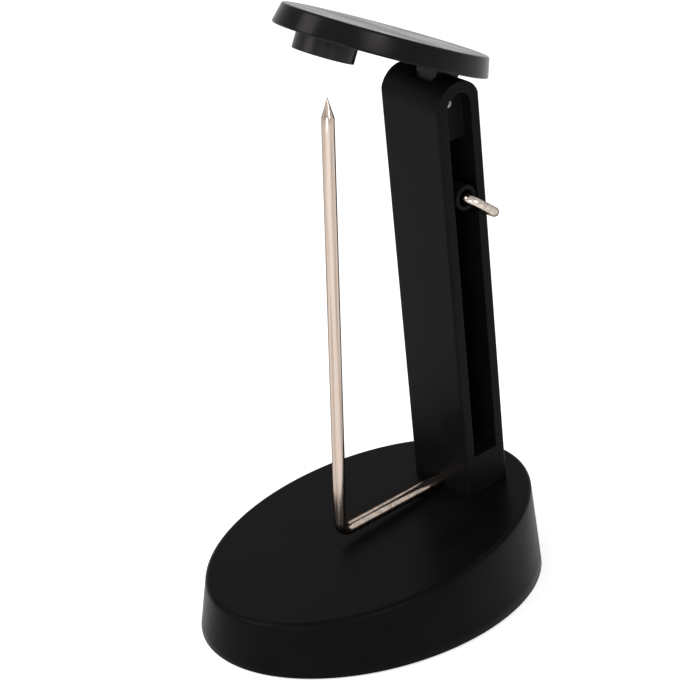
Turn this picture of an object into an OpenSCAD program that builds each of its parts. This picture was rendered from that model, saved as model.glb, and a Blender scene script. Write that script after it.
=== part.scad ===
// Desk bill spike: weighted oval base, leaning column, bent wire spike and hinged oval lid with a tip guard.
// Millimetres, +Z up, +Y to the back, origin on the floor under the middle of the base.

/* [Base] */
// length of the oval base, front to back
base_len = 130; // [110:1:150]
// width of the oval base
base_wid = 92.4; // [80:0.2:110]
// height of the sloping top at the middle of the base, above the lower edge
base_h = 24.85; // [22:0.05:32]
// slope of the top, rising to the back, in degrees
top_slope = 6.62; // [3:0.01:8]
// draft of the side wall, in degrees
wall_draft = 7.13; // [2:0.01:9]
// radius of the upper edge
edge_r = 1.5; // [0.8:0.1:2.5]
// side wall thickness of the base shell
base_wall = 2.5; // [2:0.1:4]
// thickness of the sloping top
top_t = 3; // [2.5:0.1:4]
// how far the rubber feet stand below the lower edge
foot_drop = 0.5; // [0.4:0.1:1.5]
// height of the bottom plate above the lower edge
plate_recess = 1; // [0.8:0.1:2]
// bottom plate thickness
plate_t = 1.6; // [1.2:0.1:2.4]
// ballast thickness
ballast_t = 6; // [4:0.5:7]
// rubber foot diameter
foot_d = 12; // [8:0.5:16]

/* [Column] */
// width of the column
col_w = 27; // [22:0.5:32]
// depth of the column, also the diameter of its round top
col_d = 17.8; // [15:0.1:20]
// forward lean of the column, in degrees
col_lean = 4.95; // [2:0.05:8]
// radius of the column's upright edges
col_edge = 0.9; // [0.5:0.1:1.5]
// thickness of the rim around the side recesses
col_wall = 3.8; // [2.5:0.1:4.4]
// thickness of the middle web
col_web = 3; // [2:0.5:5]
// width of the solid block that holds the hinge
block_w = 18; // [16:0.5:20]
// length of that block below the hinge axis
block_drop = 12.4; // [10:0.2:20]
// height of the solid foot
foot_block = 14; // [13:0.5:24]
// hinge axis, behind the middle of the base
hinge_y = 28.3; // [24:0.1:32]
// hinge axis, above the lower edge of the base
hinge_z = 169.2; // [150:0.2:185]

/* [Spike] */
// wire diameter
wire_d = 4.2; // [3:0.1:4.8]
// place of the upright wire, in front of the middle of the base
spike_front = 14.16; // [10:0.02:18]
// tip above the hinge axis
tip_rise = 11; // [9:0.1:12]
// length of the ground point
point_len = 6.6; // [5:0.1:10]
// bend radius at the centre of the wire
bend_r = 4; // [3.5:0.1:8]
// clear height under the bend
leg_gap = 2.6; // [2:0.1:4]
// clear height under the leg's end, inside the column's foot
leg_clear = 0.12; // [0.1:0.02:0.6]
// length of the leg that the column's foot grips
leg_grip = 7; // [5:0.1:9]

/* [Lid] */
// length of the oval lid
lid_len = 79.8; // [74:0.2:90]
// width of the oval lid
lid_wid = 56.4; // [44:0.2:70]
// lid thickness
lid_t = 6.8; // [6:0.1:9]
// angle at which the lid stands open in the picture
lid_open = 23.2; // [15:0.1:35]
// gap between the column's round top and the lid
lid_gap = 2.2; // [1.9:0.1:5]
// hinge axis behind the middle of the lid
hinge_back = 26.6; // [25:0.1:28]
// skirt thickness of the lid
lid_wall = 2.2; // [1.8:0.1:3]
// top thickness of the lid
lid_top = 2; // [1.5:0.1:2.5]
// thickness of the plate under the lid
lid_plate_t = 2.2; // [2:0.1:2.4]
// outside diameter of the tip guard cup
guard_d = 19.8; // [17:0.1:22]
// wall of the tip guard cup
guard_wall = 1.4; // [1.2:0.1:2]
// how far the cup stands below the lid
guard_drop = 5.5; // [4.5:0.1:6]
// middle of the cup in front of the hinge axis
guard_reach = 50; // [47.5:0.1:50.5]
// pad thickness
pad_t = 1; // [0.6:0.1:1.4]

/* [Hinge] */
// hinge pin diameter
pin_d = 2.4; // [2:0.1:4]
// radial running clearance of the pin
pin_fit = 0.05; // [0.02:0.01:0.09]
// width of the lid's lug
lug_w = 9.2; // [6:0.1:10]
// side clearance of the lug in its slot
lug_gap = 0.4; // [0.3:0.05:0.8]
// radius of the lug's round end
lug_r = 4.5; // [4:0.1:4.8]
// width of the lug where it joins the lid
flare_w = 12; // [10:0.1:14]

/* [Hanging ring] */
// wire diameter of the ring
bail_d = 3.2; // [2:0.1:3.4]
// ring axis below the hinge axis, along the column
bail_drop = 31.3; // [26:0.1:60]
// reach of the ring behind its axis
bail_reach = 14.2; // [13:0.1:18]
// bend radius of the ring
bail_r = 4; // [3:0.1:5]
// clearance between the ring's sides and the column
bail_side = 1.4; // [0.8:0.05:3]
// clearance between the ring at rest and the column's back
bail_rest = 0.4; // [0.35:0.01:0.8]
// outside diameter of the eyelet
eye_d = 8.4; // [7:0.1:9.4]
// wide mouth of the eyelet
eye_mouth = 5.8; // [4.5:0.1:6.5]

/* [Hidden] */
$fn = 64;
eps = 0.01;
half_l = base_len / 2;
half_w = base_wid / 2;
slope = tan(top_slope);
draft = tan(wall_draft);
// sides of each oval, sides of the bent wire and steps of its bend
segs = 96;
wire_segs = 48;
bend_steps = 16;
screw_d = 3;
screw_gap = 0.2;
head_d = 5.6;
head_t = 1.2;
post_d = 8;
shoulder_d = 12;
post_in_x = 22.2;
post_in_y = 39;
post_x = half_w - post_in_x;
post_y = half_l - post_in_y;
plate_gap = 0.5;
ballast_gap = 2;
ballast_z = plate_recess + plate_t;
foot_in_x = 24.2;
foot_in_y = 23;
foot_x = half_w - foot_in_x;
foot_y = half_l - foot_in_y;
col_screw_x = 7.5;
col_boss = 6;
col_boss_d = 10;
col_bite = 9;
slot_back = 6.2;
flare_gap = 0.9;
lug_turn = 20;
// how far the pin's ends lie below the faces of its block
pin_in = 0.2;
// angle that is left when the lid is shut
lid_shut = 2.7;
cut_deep = 20;
slot_round = 0.5;
bail_split = 0.6;
tip_flat = 0.24;
rim_n = col_d / 2 + lid_gap;
lid_a = lid_len / 2;
lid_b = lid_wid / 2;
lid_draft = 0.187;
lid_low_r = 0.6;
lid_edge_r = 0.8;
ledge = 1.5;
lid_fit = 0.05;
lug_top = 5.2;
// length of the column's middle line from the hinge axis to the sloping top of the base
col_len = (hinge_z - base_h - slope * hinge_y) / (cos(col_lean) + slope * sin(col_lean));
bail_half = col_w / 2 + bail_side + bail_d / 2;
bail_tilt = acos((col_d / 2 + bail_d / 2 + bail_rest) / bail_reach) - col_lean;
bail_y = hinge_y + bail_drop * sin(col_lean);
bail_z = hinge_z - bail_drop * cos(col_lean);
leg_z = base_h - slope * spike_front + leg_gap + wire_d / 2;
leg_end = hinge_y + col_len * sin(col_lean) - col_d / 2 + leg_grip;
// rise of the leg to the back, in degrees
leg_rise = atan2(top_z(leg_end) + leg_clear + wire_d / 2 - leg_z, leg_end + spike_front - bend_r);
// straight leg's run, from its bend into the column's foot
leg_run = (leg_end + spike_front - bend_r) / cos(leg_rise) - bend_r * tan(leg_rise);

function top_z(y) = base_h + slope * y;
// height at which the drafted wall meets the sloping top, at angle t
function wall_top(t) = (base_h + slope * half_l * sin(t)) / (1 + slope * draft * sin(t));
// ring at a fixed height, set in from the wall
function level_ring(z, inset) = [for (i = [0:segs - 1]) let (t = 360 * i / segs)
    [(half_w - draft * z - inset) * cos(t), (half_l - draft * z - inset) * sin(t), z]];
// ring parallel to the sloping top, set in from the wall and down from the top
function slope_ring(inset, drop) = [for (i = [0:segs - 1]) let (t = 360 * i / segs, z = wall_top(t) - drop)
    let (y = (half_l - draft * z - inset) * sin(t))
    [(half_w - draft * z - inset) * cos(t), y, top_z(y) - drop]];
function oval(a, b) = [for (i = [0:segs - 1]) let (t = 360 * i / segs) [b * cos(t), a * sin(t)]];
function oval_ring(inset, n) = [for (p = oval(lid_a - inset, lid_b - inset)) [p[0], p[1], n]];
// faces of a stack of m rings with n points each, closed at both ends
function stack_faces(m, n) = concat(
    [[for (i = [0:n - 1]) i]],
    [for (k = [0:m - 2]) for (i = [0:n - 1]) [k * n + i, (k + 1) * n + i, (k + 1) * n + (i + 1) % n]],
    [for (k = [0:m - 2]) for (i = [0:n - 1]) [k * n + i, (k + 1) * n + (i + 1) % n, k * n + (i + 1) % n]],
    [[for (i = [n - 1:-1:0]) (m - 1) * n + i]]);

// solid bounded by a stack of rings: a wire from end to end, or a shell from its hollow's ceiling to its outer top
module ring_stack(rings) {
    polyhedron(points = [for (r = rings) each r], faces = stack_faces(len(rings), len(rings[0])));
}
module lift() {
    translate([0, 0, foot_drop]) children();
}
module col_frame() {
    translate([0, hinge_y, hinge_z + foot_drop]) rotate([col_lean, 0, 0]) children();
}
module lid_frame() {
    translate([0, hinge_y, hinge_z + foot_drop]) rotate([-lid_open, 0, 0]) children();
}
module bail_frame() {
    translate([0, bail_y, bail_z + foot_drop]) rotate([-bail_tilt, 0, 0]) children();
}
// carries a flat outline of the YZ plane across X
module across(w) {
    rotate([90, 0, 90]) linear_extrude(height = w, center = true) children();
}
module rod_x(d, w) {
    rotate([0, 90, 0]) cylinder(d = d, h = w, center = true);
}
module at_posts() {
    for (x = [-post_x, post_x]) for (y = [-post_y, post_y]) translate([x, y, 0]) children();
}
module at_col_screws() {
    for (x = [-col_screw_x, col_screw_x]) translate([x, 0, 0]) children();
}

module base_shell() {
    outer = [for (k = [0:5]) slope_ring(edge_r * (1 - cos(18 * k)), edge_r * (1 - sin(18 * k)))];
    color([0.03, 0.03, 0.035])
    difference() {
        union() {
            lift() ring_stack(concat([slope_ring(base_wall, top_t), level_ring(0, base_wall), level_ring(0, 0)], outer));
            lift() for (x = [-post_x, post_x]) for (y = [-post_y, post_y]) translate([x, y, ballast_z + ballast_t])
                cylinder(d = shoulder_d, h = top_z(y) - top_t / 2 - ballast_z - ballast_t);
            lift() at_posts() translate([0, 0, ballast_z]) cylinder(d = post_d, h = ballast_t + 2);
            col_frame() at_col_screws() translate([0, 0, -col_len - col_boss])
                cylinder(d = col_boss_d, h = col_boss - top_t / 3);
        }
        lift() at_posts() translate([0, 0, ballast_z - 1]) cylinder(d = screw_d, h = ballast_t + 3);
        col_frame() at_col_screws() translate([0, 0, -col_len - col_boss - 1])
            cylinder(d = screw_d + 2 * screw_gap, h = col_boss + 3);
    }
}

module ballast() {
    z = ballast_z + ballast_t;
    color([0.23, 0.23, 0.24])
    lift() difference() {
        translate([0, 0, ballast_z]) linear_extrude(height = ballast_t)
            polygon(oval(half_l - base_wall - draft * z - ballast_gap, half_w - base_wall - draft * z - ballast_gap));
        at_posts() translate([0, 0, ballast_z - 1]) cylinder(d = post_d + 2 * screw_gap, h = ballast_t + 2);
    }
}

module base_plate() {
    color([0.05, 0.05, 0.055])
    lift() difference() {
        translate([0, 0, plate_recess]) linear_extrude(height = plate_t)
            polygon(oval(half_l - base_wall - draft * ballast_z - plate_gap,
                half_w - base_wall - draft * ballast_z - plate_gap));
        at_posts() translate([0, 0, plate_recess - 1]) cylinder(d = screw_d + 2 * screw_gap, h = plate_t + 2);
    }
}

module plate_screw(x, y) {
    color([0.72, 0.72, 0.74])
    lift() translate([x, y, plate_recess - head_t]) {
        cylinder(d = head_d, h = head_t);
        cylinder(d = screw_d, h = head_t + plate_t + ballast_t);
    }
}
module plate_screw_1() {
    plate_screw(-post_x, -post_y);
}
module plate_screw_2() {
    plate_screw(post_x, -post_y);
}
module plate_screw_3() {
    plate_screw(-post_x, post_y);
}
module plate_screw_4() {
    plate_screw(post_x, post_y);
}

module foot(x, y) {
    color([0.08, 0.08, 0.08])
    translate([x, y, 0]) cylinder(d = foot_d, h = foot_drop + plate_recess);
}
module foot_1() {
    foot(-foot_x, -foot_y);
}
module foot_2() {
    foot(foot_x, -foot_y);
}
module foot_3() {
    foot(-foot_x, foot_y);
}
module foot_4() {
    foot(foot_x, foot_y);
}

// rounded plan of the column
module col_plan() {
    square([col_w - 2 * col_edge, col_d], center = true);
    square([col_w, col_d - 2 * col_edge], center = true);
    for (x = [-1, 1]) for (y = [-1, 1]) translate([x * (col_w / 2 - col_edge), y * (col_d / 2 - col_edge)])
        circle(r = col_edge);
}
module column() {
    inner = col_d / 2 - col_wall;
    low = col_len - foot_block;
    deep = (col_w - col_web) / 2;
    shallow = (col_w - block_w) / 2;
    color([0.03, 0.03, 0.035])
    difference() {
        col_frame() union() {
            difference() {
                intersection() {
                    across(col_w) {
                        circle(d = col_d);
                        translate([-col_d / 2, -col_len - 4]) square([col_d, col_len + 4]);
                    }
                    translate([0, 0, -col_len - 5]) linear_extrude(height = col_len + 5 + col_d) col_plan();
                }
                for (s = [-1, 1]) translate([s * (col_w - shallow + eps) / 2, 0, 0]) across(shallow + eps) {
                    circle(r = inner);
                    translate([-inner, -block_drop]) square([2 * inner, block_drop]);
                }
                for (s = [-1, 1]) translate([s * (col_w - deep + eps) / 2, 0, 0]) across(deep + eps)
                    translate([-inner, -low]) square([2 * inner, low - block_drop]);
            }
            translate([0, 0, -bail_drop]) rod_x(eye_d, col_w);
        }
        col_frame() {
            translate([0, 0, -bail_drop]) rod_x(bail_d + 2 * pin_fit, col_w + 2);
            for (s = [-1, 1]) translate([s * (col_w + col_web) / 2, 0, -bail_drop]) rod_x(eye_mouth, col_w - col_web);
            rod_x(pin_d, block_w + 2);
            across(lug_w + 2 * lug_gap) {
                circle(r = lug_r + slot_round);
                rotate(-lid_shut - col_lean) polygon([[-lug_r * cos(lug_turn) - lug_gap, 0],
                    [-lug_r * cos(lug_turn) - lug_gap, lug_r * sin(lug_turn)], [-lug_top - lug_gap, rim_n],
                    [col_d, rim_n], [col_d, 0]]);
                translate([0, -slot_back]) square([col_d, col_d + slot_back]);
            }
            at_col_screws() translate([0, 0, -col_len - 5]) cylinder(d = screw_d, h = col_bite + 6);
        }
        lift() translate([0, 0, base_h]) rotate([top_slope, 0, 0]) translate([-col_w, -half_l, -cut_deep])
            cube([2 * col_w, 2 * base_len, cut_deep]);
        wire_frame() rotate([leg_rise, 0, 0]) translate([0, 0, -bend_r]) rotate([-90, 0, 0])
            cylinder(d = wire_d, h = leg_run);
    }
}

module column_screw(x) {
    color([0.72, 0.72, 0.74])
    col_frame() translate([x, 0, -col_len - col_boss]) {
        cylinder(d = screw_d, h = col_boss + col_bite);
        translate([0, 0, -head_t]) cylinder(d = head_d, h = head_t);
    }
}
module column_screw_1() {
    column_screw(-col_screw_x);
}
module column_screw_2() {
    column_screw(col_screw_x);
}

// ring around the wire's middle line, square to its direction
function wire_ring(cy, cz, dy, dz, r) = [for (i = [0:wire_segs - 1]) let (t = 360 * i / wire_segs)
    [r * cos(t), cy + r * sin(t) * dz, cz - r * sin(t) * dy]];
module wire_frame() {
    translate([0, bend_r - spike_front, leg_z + bend_r + foot_drop]) children();
}
module spike_wire() {
    tip = hinge_z + tip_rise - leg_z - bend_r;
    r = wire_d / 2;
    end_y = bend_r * sin(leg_rise) + leg_run * cos(leg_rise);
    end_z = -bend_r * cos(leg_rise) + leg_run * sin(leg_rise);
    bend = [for (k = [0:bend_steps]) let (a = 270 + leg_rise - (90 + leg_rise) * k / bend_steps)
        wire_ring(bend_r * cos(a), bend_r * sin(a), sin(a), -cos(a), r)];
    color([0.78, 0.74, 0.68])
    wire_frame() ring_stack(concat([wire_ring(end_y, end_z, -cos(leg_rise), -sin(leg_rise), r)], bend,
        [wire_ring(-bend_r, tip - point_len, 0, 1, r), wire_ring(-bend_r, tip, 0, 1, tip_flat / 2)]));
}

// wire loop lying in its own plane, its split hidden in the eyelet
module bail_ring() {
    side = bail_reach - 2 * bail_r;
    run = bail_half - bail_r;
    color([0.78, 0.75, 0.70])
    bail_frame() {
        for (s = [0, 1]) mirror([s, 0, 0]) {
            translate([bail_split / 2, 0, 0]) rotate([0, 90, 0]) cylinder(d = bail_d, h = run - bail_split / 2);
            translate([run, bail_r, 0]) rotate([0, 0, -90]) rotate_extrude(angle = 90)
                translate([bail_r, 0]) circle(d = bail_d);
            translate([bail_half, bail_r, 0]) rotate([-90, 0, 0]) cylinder(d = bail_d, h = side);
            translate([run, bail_r + side, 0]) rotate_extrude(angle = 90) translate([bail_r, 0]) circle(d = bail_d);
        }
        translate([0, bail_reach, 0]) rod_x(bail_d, 2 * run);
    }
}

module hinge_pin() {
    color([0.75, 0.75, 0.76])
    col_frame() rod_x(pin_d, block_w - 2 * pin_in);
}

module lid_cap() {
    up = rim_n + lid_t;
    low = [for (k = [0:4]) oval_ring(lid_low_r * (1 - sin(22.5 * k)), rim_n + lid_low_r * (1 - cos(22.5 * k)))];
    high = [for (k = [0:4]) oval_ring(lid_draft * lid_t + lid_edge_r * (1 - cos(22.5 * k)),
        up - lid_edge_r * (1 - sin(22.5 * k)))];
    color([0.03, 0.03, 0.035])
    lid_frame() translate([0, -hinge_back, 0]) ring_stack(concat([
        oval_ring(lid_wall + ledge, up - lid_top),
        oval_ring(lid_wall + ledge, rim_n + lid_plate_t),
        oval_ring(lid_wall, rim_n + lid_plate_t),
        oval_ring(lid_wall, rim_n)], low, high));
}

// plate under the lid, with the lug that the pin passes through and the cup that covers the spike's tip
module lid_plate() {
    color([0.03, 0.03, 0.035])
    lid_frame() difference() {
        union() {
            translate([0, -hinge_back, rim_n]) linear_extrude(height = lid_plate_t)
                polygon(oval(lid_a - lid_wall - lid_fit, lid_b - lid_wall - lid_fit));
            translate([0, -guard_reach, rim_n - guard_drop]) cylinder(d = guard_d, h = guard_drop + lid_plate_t / 2);
            across(lug_w) {
                circle(r = lug_r);
                polygon([[-lug_r * cos(lug_turn), lug_r * sin(lug_turn)], [lug_r * cos(lug_turn), lug_r * sin(lug_turn)],
                    [lug_top, rim_n], [lug_top, rim_n + lid_plate_t / 2], [-lug_top, rim_n + lid_plate_t / 2],
                    [-lug_top, rim_n]]);
            }
            rotate([90, 0, 0]) linear_extrude(height = 2 * lug_top, center = true)
                polygon([[-lug_w / 2, col_d / 2 + flare_gap], [lug_w / 2, col_d / 2 + flare_gap], [flare_w / 2, rim_n],
                    [flare_w / 2, rim_n + lid_plate_t / 2], [-flare_w / 2, rim_n + lid_plate_t / 2], [-flare_w / 2, rim_n]]);
        }
        translate([0, -guard_reach, rim_n - guard_drop - 1])
            cylinder(d = guard_d - 2 * guard_wall, h = guard_drop + 1 + pad_t / 2);
        rod_x(pin_d + 2 * pin_fit, lug_w + 2);
    }
}

module guard_pad() {
    color([0.1, 0.1, 0.1])
    lid_frame() translate([0, -guard_reach, rim_n - pad_t / 2]) cylinder(d = guard_d - 2 * guard_wall, h = pad_t);
}

base_shell();
ballast();
base_plate();
plate_screw_1();
plate_screw_2();
plate_screw_3();
plate_screw_4();
foot_1();
foot_2();
foot_3();
foot_4();
column();
column_screw_1();
column_screw_2();
spike_wire();
bail_ring();
hinge_pin();
lid_cap();
lid_plate();
guard_pad();
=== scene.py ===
# Desk bill spike: a weighted oval base, a leaning column, a bent wire spike, a hanging ring and a hinged lid.
# Metres, +Z up, +Y to the back where the column stands, origin on the floor under the middle of the base.
import bpy
import numpy as np
from mathutils import Matrix


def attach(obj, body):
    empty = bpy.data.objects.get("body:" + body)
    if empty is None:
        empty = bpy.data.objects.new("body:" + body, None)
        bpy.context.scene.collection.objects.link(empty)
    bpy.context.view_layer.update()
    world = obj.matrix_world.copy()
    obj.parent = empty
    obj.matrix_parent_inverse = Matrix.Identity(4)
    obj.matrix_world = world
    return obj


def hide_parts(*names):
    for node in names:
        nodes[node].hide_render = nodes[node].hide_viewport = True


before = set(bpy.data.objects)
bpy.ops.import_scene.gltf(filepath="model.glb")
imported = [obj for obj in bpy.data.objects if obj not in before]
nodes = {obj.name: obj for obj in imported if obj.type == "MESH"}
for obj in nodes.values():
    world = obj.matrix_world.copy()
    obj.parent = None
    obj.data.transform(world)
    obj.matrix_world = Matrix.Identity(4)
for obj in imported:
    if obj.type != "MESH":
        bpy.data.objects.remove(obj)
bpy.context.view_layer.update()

# Base shell
# A hollow oval moulding in satin black plastic, with drafted sides and a top that rises to the back.
# It is moulded in one piece, so its upper edge is a small even round and its lower edge is only broken.
FOOT_DROP = 0.0005
BASE_LONG = 0.065
BASE_WIDE = 0.0462
BASE_HEIGHT = 0.02485
TOP_SLOPE = np.tan(np.radians(6.62))
WALL_DRAFT = np.tan(np.radians(7.13))
BASE_EDGE = 0.0015
BASE_WALL = 0.0025
TOP_THICK = 0.003
BROKEN_EDGE = 0.0003
EDGE_STEP = 0.0002
CAP_INSET = 0.02
AROUND = 288
INNER_STEPS = 4
WALL_STEPS = 8
EDGE_STEPS = 11
CAP_STEPS = 6


def ring_surface(name, rings):
    """Mesh of m rings of n points: quads join each ring to the next, and a fan closes each end."""
    m, n, _ = rings.shape
    index = np.arange(m * n).reshape(m, n)
    turn = np.roll(index, -1, axis=1)
    quads = np.stack([index[:-1], turn[:-1], turn[1:], index[1:]], axis=-1).reshape(-1, 4)
    points = [rings.reshape(-1, 3)]
    faces = [quads.tolist()]
    for row, flip in ((0, True), (m - 1, False)):
        middle = np.full(n, sum(len(p) for p in points))
        points.append(rings[row].mean(axis=0, keepdims=True))
        first, second = (turn[row], index[row]) if flip else (index[row], turn[row])
        faces.append(np.stack([first, second, middle], axis=-1).tolist())
    mesh = bpy.data.meshes.new(name)
    mesh.from_pydata(np.concatenate(points).tolist(), [], sum(faces, []))
    mesh.shade_smooth()
    piece = bpy.data.objects.new(name, mesh)
    bpy.context.collection.objects.link(piece)
    return piece


def base_level(height, inset):
    """Ring at one height: an oval whose half axes shrink by the draft times the height, and by the inset."""
    t = np.linspace(0, 2 * np.pi, AROUND, endpoint=False)
    shrink = WALL_DRAFT * height + inset
    x = (BASE_WIDE - shrink) * np.cos(t)
    y = (BASE_LONG - shrink) * np.sin(t)
    return np.stack([x, y, np.full(AROUND, height)], axis=-1)


def base_slope(inset, drop):
    """Ring parallel to the top: where the drafted oval meets it, moved in by inset and down by drop."""
    t = np.linspace(0, 2 * np.pi, AROUND, endpoint=False)
    meet = (BASE_HEIGHT + TOP_SLOPE * BASE_LONG * np.sin(t)) / (1 + TOP_SLOPE * WALL_DRAFT * np.sin(t)) - drop
    x = (BASE_WIDE - WALL_DRAFT * meet - inset) * np.cos(t)
    y = (BASE_LONG - WALL_DRAFT * meet - inset) * np.sin(t)
    return np.stack([x, y, BASE_HEIGHT + TOP_SLOPE * y - drop], axis=-1)


def between(a, b, steps):
    """Rings evenly spaced from ring a to ring b, both included."""
    f = np.linspace(0, 1, steps)[:, None, None]
    return a + (b - a) * f


round_edge = np.radians(np.linspace(0, 90, EDGE_STEPS))
base_round = np.stack([
    base_slope(BASE_EDGE * (1 - np.cos(a)), BASE_EDGE * (1 - np.sin(a)))
    for a in round_edge
])
base_rings = np.concatenate([
    between(base_slope(BASE_WALL, TOP_THICK), base_level(0, BASE_WALL), INNER_STEPS),
    base_level(0, BROKEN_EDGE)[None],
    between(base_level(BROKEN_EDGE, 0), base_round[0], WALL_STEPS)[:-1],
    base_round,
    between(base_slope(BASE_EDGE + EDGE_STEP, 0), base_slope(CAP_INSET, 0), CAP_STEPS),
])
base_rings[..., 2] += FOOT_DROP
base_skin = ring_surface("base_skin", base_rings)


def add_node(tree, kind, **values):
    """New shader node with the given attributes."""
    node = tree.nodes.new(kind)
    for key, value in values.items():
        setattr(node, key, value)
    return node


def new_material(name):
    """Material with a tree that holds only its Principled shader and its output."""
    material = bpy.data.materials.new(name)
    material.use_nodes = True
    return material, material.node_tree, material.node_tree.nodes["Principled BSDF"]


def noise(tree, scale, detail, stretch=(1, 1, 1)):
    """Noise texture on Object coordinates, drawn out by the stretch along each axis."""
    place = add_node(tree, "ShaderNodeTexCoord")
    turn = add_node(tree, "ShaderNodeMapping")
    turn.inputs["Scale"].default_value = stretch
    tree.links.new(place.outputs["Object"], turn.inputs["Vector"])
    pattern = add_node(tree, "ShaderNodeTexNoise")
    pattern.inputs["Scale"].default_value = scale
    pattern.inputs["Detail"].default_value = detail
    tree.links.new(turn.outputs["Vector"], pattern.inputs["Vector"])
    return pattern.outputs["Fac"]


def spread(tree, value, low, high, at=(0.35, 0.65)):
    """Maps a noise value's middle range onto low to high."""
    node = add_node(tree, "ShaderNodeMapRange")
    node.inputs["From Min"].default_value = at[0]
    node.inputs["From Max"].default_value = at[1]
    node.inputs["To Min"].default_value = low
    node.inputs["To Max"].default_value = high
    tree.links.new(value, node.inputs["Value"])
    return node.outputs["Result"]


def mix_colour(tree, factor, a, b):
    """Colour that goes from a to b as the factor goes from 0 to 1; a may be a socket."""
    node = add_node(tree, "ShaderNodeMix", data_type="RGBA")
    tree.links.new(factor, node.inputs["Factor"])
    if isinstance(a, tuple):
        node.inputs["A"].default_value = a
    else:
        tree.links.new(a, node.inputs["A"])
    node.inputs["B"].default_value = b
    return node.outputs["Result"]


def satin_black(name, tone, rough, edge, gloss):
    """Moulded black plastic: fine grain in the bump, cloudy roughness, and edges rubbed a little paler."""
    material, tree, shader = new_material(name)
    clouds = noise(tree, 55, 4)
    grain = noise(tree, 3200, 2)
    soft = add_node(tree, "ShaderNodeBevel", samples=6)
    soft.inputs["Radius"].default_value = edge
    facing = add_node(tree, "ShaderNodeNewGeometry")
    dot = add_node(tree, "ShaderNodeVectorMath", operation="DOT_PRODUCT")
    tree.links.new(soft.outputs["Normal"], dot.inputs[0])
    tree.links.new(facing.outputs["Normal"], dot.inputs[1])
    rub = spread(tree, dot.outputs["Value"], 0.6, 0, at=(0.75, 0.99))
    body = mix_colour(tree, spread(tree, clouds, 0, 1), (tone * 0.85, tone * 0.76, tone * 0.84, 1),
                      (tone * 1.2, tone * 1.05, tone * 1.15, 1))
    rubbed = mix_colour(tree, rub, body, (tone * 3.2, tone * 3.0, tone * 3.0, 1))
    tree.links.new(rubbed, shader.inputs["Base Color"])
    tree.links.new(spread(tree, clouds, rough - 0.04, rough + 0.06), shader.inputs["Roughness"])
    bump = add_node(tree, "ShaderNodeBump")
    bump.inputs["Strength"].default_value = 0.12
    bump.inputs["Distance"].default_value = 0.00006
    tree.links.new(grain, bump.inputs["Height"])
    tree.links.new(soft.outputs["Normal"], bump.inputs["Normal"])
    tree.links.new(bump.outputs["Normal"], shader.inputs["Normal"])
    shader.inputs["Specular IOR Level"].default_value = gloss
    shader.inputs["Specular Tint"].default_value = (1, 0.93, 0.99, 1)
    return material


base_skin.data.materials.append(satin_black("base satin black", 0.0034, 0.34, 0.0005, 0.03))
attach(base_skin, "stand")
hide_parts("base_shell")

# Ballast
# A sand-cast iron slab that lies on the bottom plate and gives the stand its weight.
# It is left as cast, so it is rough and grey; four posts of the shell pass through it.
iron, tree, shader = new_material("cast iron")
sand = noise(tree, 900, 5)
iron_grey = mix_colour(tree, spread(tree, sand, 0, 1), (0.10, 0.10, 0.105, 1), (0.2, 0.195, 0.19, 1))
tree.links.new(iron_grey, shader.inputs["Base Color"])
tree.links.new(spread(tree, sand, 0.55, 0.8), shader.inputs["Roughness"])
shader.inputs["Metallic"].default_value = 0.9
iron_bump = add_node(tree, "ShaderNodeBump")
iron_bump.inputs["Strength"].default_value = 0.5
iron_bump.inputs["Distance"].default_value = 0.0002
tree.links.new(sand, iron_bump.inputs["Height"])
tree.links.new(iron_bump.outputs["Normal"], shader.inputs["Normal"])
nodes["ballast"].material_slots[0].material = iron

# Bottom plate
# A flat black plastic plate that closes the base, set in a little from its lower edge.
# It is held by four screws that bite into the shell's posts.
nodes["base_plate"].material_slots[0].material = satin_black("plate black", 0.008, 0.5, 0.0003, 0.04)

# Screws
# Zinc plated steel screws: four under the bottom plate, and two inside the base that hold the column.
# Their plating is dull, with faint cloudy spots.
zinc, tree, shader = new_material("zinc plate")
spots = noise(tree, 1400, 3)
zinc_grey = mix_colour(tree, spread(tree, spots, 0, 1), (0.52, 0.53, 0.55, 1), (0.68, 0.68, 0.69, 1))
tree.links.new(zinc_grey, shader.inputs["Base Color"])
tree.links.new(spread(tree, spots, 0.28, 0.45), shader.inputs["Roughness"])
shader.inputs["Metallic"].default_value = 1.0
plate_screws = ("plate_screw_1", "plate_screw_2", "plate_screw_3", "plate_screw_4")
for screw in plate_screws + ("column_screw_1", "column_screw_2"):
    nodes[screw].material_slots[0].material = zinc

# Feet
# Four flat rubber pads, punched from sheet and glued under the bottom plate.
# They are matt and slightly dusty, and stand a little below the base's edge.
rubber, tree, shader = new_material("sheet rubber")
dust = noise(tree, 700, 4)
rubber_grey = mix_colour(tree, spread(tree, dust, 0, 1), (0.018, 0.018, 0.018, 1), (0.05, 0.048, 0.045, 1))
tree.links.new(rubber_grey, shader.inputs["Base Color"])
tree.links.new(spread(tree, dust, 0.7, 0.9), shader.inputs["Roughness"])
rubber_bump = add_node(tree, "ShaderNodeBump")
rubber_bump.inputs["Strength"].default_value = 0.3
rubber_bump.inputs["Distance"].default_value = 0.00008
tree.links.new(dust, rubber_bump.inputs["Height"])
tree.links.new(rubber_bump.outputs["Normal"], shader.inputs["Normal"])
for pad in ("foot_1", "foot_2", "foot_3", "foot_4"):
    nodes[pad].material_slots[0].material = rubber

# Column
# A leaning black moulding with a round top, sides recessed to a middle web, and an eyelet for the ring.
# It stands on the base's slope, held from inside by two screws, and its foot grips the spike's wire.
nodes["column"].material_slots[0].material = satin_black("column satin black", 0.0048, 0.4, 0.0005, 0.032)

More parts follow.
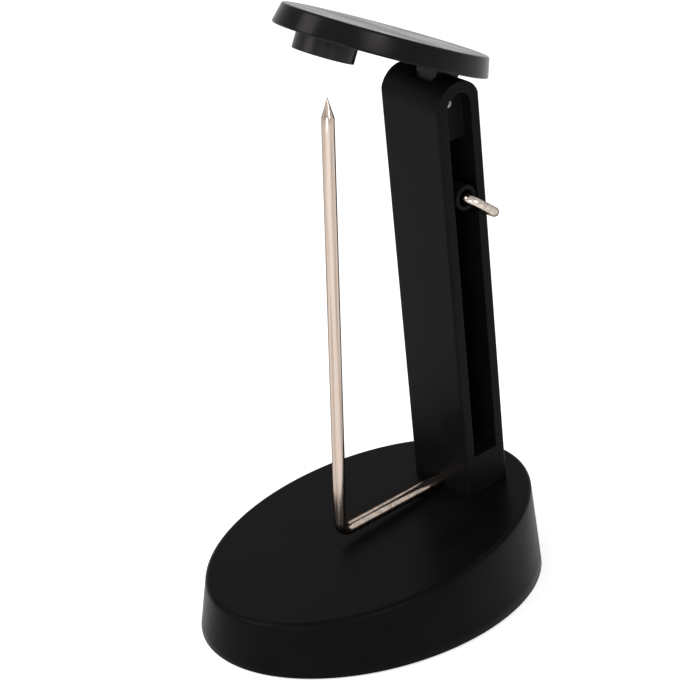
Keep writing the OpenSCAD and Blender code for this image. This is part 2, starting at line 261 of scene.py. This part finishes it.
# Spike
# One length of nickel plated steel wire, ground to a point, bent at its foot and run into the column.
# Drawing leaves faint lines along it, which show in its colour and its gloss.
WIRE_R = 0.0021
SPIKE_Y = -0.01416
BEND_R = 0.004
LEG_GAP = 0.0026
LEG_CLEAR = 0.00012
LEG_GRIP = 0.007
TIP_Z = 0.1802
POINT_LONG = 0.0066
TIP_R = 0.00012
LEG_STEPS = 12
BEND_STEPS = 33
RISE_STEPS = 24
POINT_STEPS = 9
WIRE_SIDES = 48
HINGE_Y = 0.0283
HINGE_Z = 0.1692
COLUMN_LEAN = np.radians(4.95)
COLUMN_DEEP = 0.0178
LEAN_FALL = np.cos(COLUMN_LEAN) + TOP_SLOPE * np.sin(COLUMN_LEAN)
COLUMN_LONG = (HINGE_Z - BASE_HEIGHT - TOP_SLOPE * HINGE_Y) / LEAN_FALL


def wire_rings(centres, directions, sides, radii, n):
    """Circle of each radius around each centre, in the plane of its side and of direction times side."""
    t = np.linspace(0, 2 * np.pi, n, endpoint=False)[None, :, None]
    other = np.cross(directions, sides)
    ring = np.cos(t) * sides[:, None] + np.sin(t) * other[:, None]
    return centres[:, None] + radii[:, None, None] * ring


leg_z = BASE_HEIGHT + TOP_SLOPE * SPIKE_Y + LEG_GAP + WIRE_R
leg_end = HINGE_Y + COLUMN_LONG * np.sin(COLUMN_LEAN) - COLUMN_DEEP / 2 + LEG_GRIP
leg_end_z = BASE_HEIGHT + TOP_SLOPE * leg_end + LEG_CLEAR + WIRE_R
leg_rise = np.arctan2(leg_end_z - leg_z, leg_end - SPIKE_Y - BEND_R)
leg_run = (leg_end - SPIKE_Y - BEND_R) / np.cos(leg_rise) - BEND_R * np.tan(leg_rise)
bend_angle = np.linspace(3 * np.pi / 2 + leg_rise, np.pi, BEND_STEPS)
bend_y = SPIKE_Y + BEND_R + BEND_R * np.cos(bend_angle)
bend_z = leg_z + BEND_R + BEND_R * np.sin(bend_angle)
bend_at = np.stack([np.zeros(BEND_STEPS), bend_y, bend_z], axis=-1)
bend_way = np.stack([np.zeros(BEND_STEPS), np.sin(bend_angle), -np.cos(bend_angle)], axis=-1)
leg_at = bend_at[0] - bend_way[0] * np.linspace(leg_run, 0, LEG_STEPS)[:-1, None]
shaft = np.linspace(leg_z + BEND_R, TIP_Z - POINT_LONG, RISE_STEPS)[1:]
point = TIP_Z - POINT_LONG * np.linspace(1, 0, POINT_STEPS)[1:]
rise = np.concatenate([shaft, point])
up_at = np.stack([np.zeros(len(rise)), np.full(len(rise), SPIKE_Y), rise], axis=-1)
wire_at = np.concatenate([leg_at, bend_at, up_at]) + (0, 0, FOOT_DROP)
leg_way = np.repeat(bend_way[:1], len(leg_at), axis=0)
up_way = np.repeat(bend_way[-1:], len(up_at), axis=0)
wire_way = np.concatenate([leg_way, bend_way, up_way])
full_r = np.full(len(wire_at) - len(point), WIRE_R)
point_r = WIRE_R + (TIP_R - WIRE_R) * np.linspace(0, 1, POINT_STEPS)[1:]
wire_side = np.tile((1.0, 0, 0), (len(wire_at), 1))
wire_r = np.concatenate([full_r, point_r])
spike_rings = wire_rings(wire_at, wire_way, wire_side, wire_r, WIRE_SIDES)
spike = ring_surface("spike_bar", spike_rings)


def bright_wire(name, tone, stretch):
    """Nickel plated wire: lines drawn out by the stretch, broad in its colour and fine in its gloss, with
    painted shade on its sides from a dark edge tint.
    """
    material, tree, shader = new_material(name)
    fine = noise(tree, 2600, 3, stretch)
    broad = noise(tree, 900, 1, stretch)
    darker = tuple(c * 0.62 for c in tone) + (1,)
    drawn = mix_colour(tree, spread(tree, broad, 0, 1, (0.3, 0.62)), darker, tone + (1,))
    tree.links.new(drawn, shader.inputs["Base Color"])
    tree.links.new(spread(tree, fine, 0.1, 0.24), shader.inputs["Roughness"])
    shader.inputs["Metallic"].default_value = 1.0
    # Painted shade: the edge tint is dark, so the wire's sides reflect darker than the white surround would
    # make them.
    shader.inputs["Specular Tint"].default_value = (0.15, 0.13, 0.12, 1)
    bump = add_node(tree, "ShaderNodeBump")
    bump.inputs["Strength"].default_value = 0.15
    bump.inputs["Distance"].default_value = 0.00003
    tree.links.new(fine, bump.inputs["Height"])
    tree.links.new(bump.outputs["Normal"], shader.inputs["Normal"])
    return material


spike.data.materials.append(bright_wire("spike nickel", (0.53, 0.435, 0.37), (1, 1, 0.02)))
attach(spike, "stand")
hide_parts("spike_wire")

# Hanging ring
# A four-cornered ring bent from thinner nickel plated wire, its ends meeting unseen inside the eyelet.
# It hangs by its own weight against the column's back and swings up for hanging the stand on a hook.
RING_R = 0.0016
RING_HALF = 0.0165
RING_REACH = 0.0142
RING_BEND = 0.004
RING_SPLIT = 0.0003
RING_DROP = 0.0313
RING_REST = 0.0004
RING_STEPS = 25
ARM_STEPS = 8
BACK_STEPS = 11
RING_SIDES = 40
corner = np.linspace(0, np.pi / 2, RING_STEPS)
run = RING_HALF - RING_BEND
arc_x = RING_BEND * np.sin(corner)
arc_q = RING_BEND * (1 - np.cos(corner))
arm = np.linspace(RING_SPLIT, run, ARM_STEPS + 1)[:-1]
across = np.linspace(run, -run, BACK_STEPS + 2)[1:-1]
still = np.zeros(ARM_STEPS)
straight = np.ones(ARM_STEPS)
cos_up, sin_up = np.cos(corner), np.sin(corner)
cos_down, sin_down = cos_up[::-1], sin_up[::-1]
ring_x = np.concatenate([arm, run + arc_x, run + arc_x[::-1], across,
                         -run - arc_x, -run - arc_x[::-1], -arm[::-1]])
ring_q = np.concatenate([still, arc_q, RING_REACH - arc_q[::-1], np.full(BACK_STEPS, RING_REACH),
                         RING_REACH - arc_q, arc_q[::-1], still])
way_x = np.concatenate([straight, cos_up, -cos_down, -np.ones(BACK_STEPS), -cos_up, cos_down, straight])
way_q = np.concatenate([still, sin_up, sin_down, np.zeros(BACK_STEPS), -sin_up, -sin_down, still])
ring_tilt = np.arccos((COLUMN_DEEP / 2 + RING_R + RING_REST) / RING_REACH) - COLUMN_LEAN
back_down = np.array([0, np.cos(ring_tilt), -np.sin(ring_tilt)])
eye_y = HINGE_Y + RING_DROP * np.sin(COLUMN_LEAN)
eye_z = HINGE_Z - RING_DROP * np.cos(COLUMN_LEAN) + FOOT_DROP
ring_eye = np.array([0, eye_y, eye_z])
along_x = np.array([1.0, 0, 0])
ring_at = ring_eye + ring_x[:, None] * along_x + ring_q[:, None] * back_down
ring_way = way_x[:, None] * along_x + way_q[:, None] * back_down
ring_side = np.tile(np.cross(along_x, back_down), (len(ring_at), 1))
ring_r = np.full(len(ring_at), RING_R)
ring = ring_surface("hanging_ring", wire_rings(ring_at, ring_way, ring_side, ring_r, RING_SIDES))
ring.data.materials.append(bright_wire("ring nickel", (0.61, 0.53, 0.465), (0.05, 1, 1)))
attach(ring, "ring")
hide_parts("bail_ring")

# Hinge pin
# A plain steel pin pressed into the column's round top; its ends lie just inside the side recesses.
# Its grey is darker than bare steel, so its ends look dull, with faint cloudy marks.
pin_steel, tree, shader = new_material("pin steel")
turned = noise(tree, 1800, 3, (0.1, 1, 1))
pin_grey = mix_colour(tree, spread(tree, turned, 0, 1), (0.2, 0.19, 0.19, 1), (0.34, 0.33, 0.32, 1))
tree.links.new(pin_grey, shader.inputs["Base Color"])
tree.links.new(spread(tree, turned, 0.2, 0.36), shader.inputs["Roughness"])
shader.inputs["Metallic"].default_value = 1.0
nodes["hinge_pin"].material_slots[0].material = pin_steel

# Lid cap
# An oval black moulding, flat on top, with a small round on both edges, hollow below.
# It is moulded like the base, with an oval of nearly the same shape; the plate under it closes its hollow.
LID_LONG = 0.0399
LID_WIDE = 0.0282
LID_THICK = 0.0068
LID_OPEN = np.radians(23.2)
LID_AHEAD = 0.0266
LID_GAP = 0.0022
LID_RIM = COLUMN_DEEP / 2 + LID_GAP
LID_DRAFT = 0.187
LID_LOW_R = 0.0006
LID_EDGE = 0.0008
LID_WALL = 0.0022
LID_LEDGE = 0.0015
LID_TOP = 0.002
PLATE_THICK = 0.0022
CROWN_INSET = 0.012
LID_EDGE_STEPS = 9
CROWN_STEPS = 5


def lid_oval(inset, height):
    """Oval of the lid moved in by inset, at a height over its hinge axis, then turned open about it."""
    t = np.linspace(0, 2 * np.pi, AROUND, endpoint=False)
    y = (LID_LONG - inset) * np.sin(t) - LID_AHEAD
    z = np.full(AROUND, height)
    turned_y = HINGE_Y + y * np.cos(LID_OPEN) + z * np.sin(LID_OPEN)
    turned_z = HINGE_Z + FOOT_DROP - y * np.sin(LID_OPEN) + z * np.cos(LID_OPEN)
    return np.stack([(LID_WIDE - inset) * np.cos(t), turned_y, turned_z], axis=-1)


lid_up = LID_RIM + LID_THICK
lid_turn = np.radians(np.linspace(0, 90, LID_EDGE_STEPS))
lid_low = np.stack([
    lid_oval(LID_LOW_R * (1 - np.sin(a)), LID_RIM + LID_LOW_R * (1 - np.cos(a)))
    for a in lid_turn
])
lid_high = np.stack([
    lid_oval(LID_DRAFT * LID_THICK + LID_EDGE * (1 - np.cos(a)), lid_up - LID_EDGE * (1 - np.sin(a)))
    for a in lid_turn
])
lid_crown = between(lid_high[-1], lid_oval(CROWN_INSET, lid_up), CROWN_STEPS)[1:]
lid_hollow = np.stack([
    lid_oval(LID_WALL + LID_LEDGE, lid_up - LID_TOP),
    lid_oval(LID_WALL + LID_LEDGE, LID_RIM + PLATE_THICK),
    lid_oval(LID_WALL, LID_RIM + PLATE_THICK),
    lid_oval(LID_WALL, LID_RIM),
])
lid_skin = ring_surface("lid_skin", np.concatenate([lid_hollow, lid_low, lid_high, lid_crown]))
lid_skin.data.materials.append(satin_black("lid satin black", 0.0036, 0.26, 0.0004, 0.085))
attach(lid_skin, "lid")
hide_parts("lid_cap")

# Plate under the lid
# A black moulding pressed into the cap, with the hinge's lug and the cup that covers the spike's tip.
# It is moulded in one piece, with edges as sharp as the tool left them.
nodes["lid_plate"].material_slots[0].material = satin_black("lid plate black", 0.005, 0.3, 0.0004, 0.17)

# Guard pad
# A soft rubber disc pressed into the bottom of the cup, above the spike's tip.
# It is cut from the same sheet as the feet.
nodes["guard_pad"].material_slots[0].material = rubber

# Floor
# A plain pale studio floor, far larger than the stand, that keeps its shadow.
# Camera and mirror rays find it close to white, because it glows a little for them.
FLOOR_HALF = 3.0
FLOOR_GLOW = 0.55
floor_mesh = bpy.data.meshes.new("floor")
floor_corners = [(FLOOR_HALF * x, FLOOR_HALF * y, 0) for x, y in ((-1, -1), (1, -1), (1, 1), (-1, 1))]
floor_mesh.from_pydata(floor_corners, [], [(0, 1, 2, 3)])
floor = bpy.data.objects.new("floor", floor_mesh)
bpy.context.collection.objects.link(floor)
floor_paint, tree, shader = new_material("floor paint")
shader.inputs["Base Color"].default_value = (0.9, 0.9, 0.9, 1)
shader.inputs["Roughness"].default_value = 0.9
shader.inputs["Specular IOR Level"].default_value = 0.1
shader.inputs["Emission Color"].default_value = (1, 1, 1, 1)
floor_path = add_node(tree, "ShaderNodeLightPath")
floor_seen = add_node(tree, "ShaderNodeMath", operation="MAXIMUM")
tree.links.new(floor_path.outputs["Is Camera Ray"], floor_seen.inputs[0])
tree.links.new(floor_path.outputs["Is Glossy Ray"], floor_seen.inputs[1])
floor_glow = add_node(tree, "ShaderNodeMath", operation="MULTIPLY")
tree.links.new(floor_seen.outputs["Value"], floor_glow.inputs[0])
floor_glow.inputs[1].default_value = FLOOR_GLOW
tree.links.new(floor_glow.outputs["Value"], shader.inputs["Emission Strength"])
floor_mesh.materials.append(floor_paint)

# Studio
# One broad soft lamp to the left, weaker ones to the right and low in front, and a white surround.
# Camera, mirror and glass rays see the surround as white; the rest of it lights the stand softly.
world = bpy.data.worlds.new("studio")
bpy.context.scene.world = world
world.use_nodes = True
sky = world.node_tree
surround = sky.nodes["Background"]
surround.inputs["Color"].default_value = (1, 1, 1, 1)
path = add_node(sky, "ShaderNodeLightPath")
seen = add_node(sky, "ShaderNodeMath", operation="MAXIMUM")
sky.links.new(path.outputs["Is Camera Ray"], seen.inputs[0])
sky.links.new(path.outputs["Is Glossy Ray"], seen.inputs[1])
seen_too = add_node(sky, "ShaderNodeMath", operation="MAXIMUM")
sky.links.new(seen.outputs["Value"], seen_too.inputs[0])
sky.links.new(path.outputs["Is Transmission Ray"], seen_too.inputs[1])
strength = add_node(sky, "ShaderNodeMapRange")
strength.inputs["To Min"].default_value = 0.5
strength.inputs["To Max"].default_value = 1.0
sky.links.new(seen_too.outputs["Value"], strength.inputs["Value"])
sky.links.new(strength.outputs["Result"], surround.inputs["Strength"])
AIM_HEIGHT = 0.09


def soft_lamp(name, place, size, watts):
    """Square area lamp at a place, turned to face the middle of the stand."""
    lamp = bpy.data.lights.new(name, "AREA")
    lamp.size = size
    lamp.energy = watts
    holder = bpy.data.objects.new(name, lamp)
    back = np.array(place) - (0, 0, AIM_HEIGHT)
    back = back / np.linalg.norm(back)
    right = np.cross((0, 0, 1), back)
    right = right / np.linalg.norm(right)
    turn = Matrix(np.stack([right, np.cross(back, right), back], axis=1).tolist()).to_4x4()
    holder.matrix_world = Matrix.Translation(place) @ turn
    bpy.context.collection.objects.link(holder)


soft_lamp("key_lamp", (-0.25, -0.95, 0.85), 0.6, 8)
soft_lamp("side_lamp", (1.1, -0.15, 0.55), 0.35, 4)
soft_lamp("low_lamp", (0.6, -0.95, 0.15), 0.35, 3)

# Camera
# It stands in front and to the right, well above the lid, turned a trifle off level as in the picture.
EYE = np.array([0.5773, -0.4979, 0.4562 + FOOT_DROP])
AZIMUTH = np.radians(49.91)
ELEVATION = np.radians(25.43)
ROLL = np.radians(-1.72)
SENSOR_MM = 36
FOCAL_PIXELS = 2612.6
PICTURE_PIXELS = 680
right = np.array([np.cos(AZIMUTH), np.sin(AZIMUTH), 0])
level_back = np.array([np.sin(AZIMUTH), -np.cos(AZIMUTH), 0])
back = np.cos(ELEVATION) * level_back + np.sin(ELEVATION) * np.array([0, 0, 1])
up = np.cross(back, right)
rolled_right = np.cos(ROLL) * right + np.sin(ROLL) * up
rolled_up = np.cos(ROLL) * up - np.sin(ROLL) * right
lens = bpy.data.cameras.new("camera")
lens.sensor_width = SENSOR_MM
lens.lens = FOCAL_PIXELS / PICTURE_PIXELS * SENSOR_MM
camera = bpy.data.objects.new("camera", lens)
camera_turn = Matrix(np.stack([rolled_right, rolled_up, back], axis=1).tolist()).to_4x4()
camera.matrix_world = Matrix.Translation(EYE) @ camera_turn
bpy.context.collection.objects.link(camera)
bpy.context.scene.camera = camera
bpy.context.scene.view_settings.view_transform = "Standard"
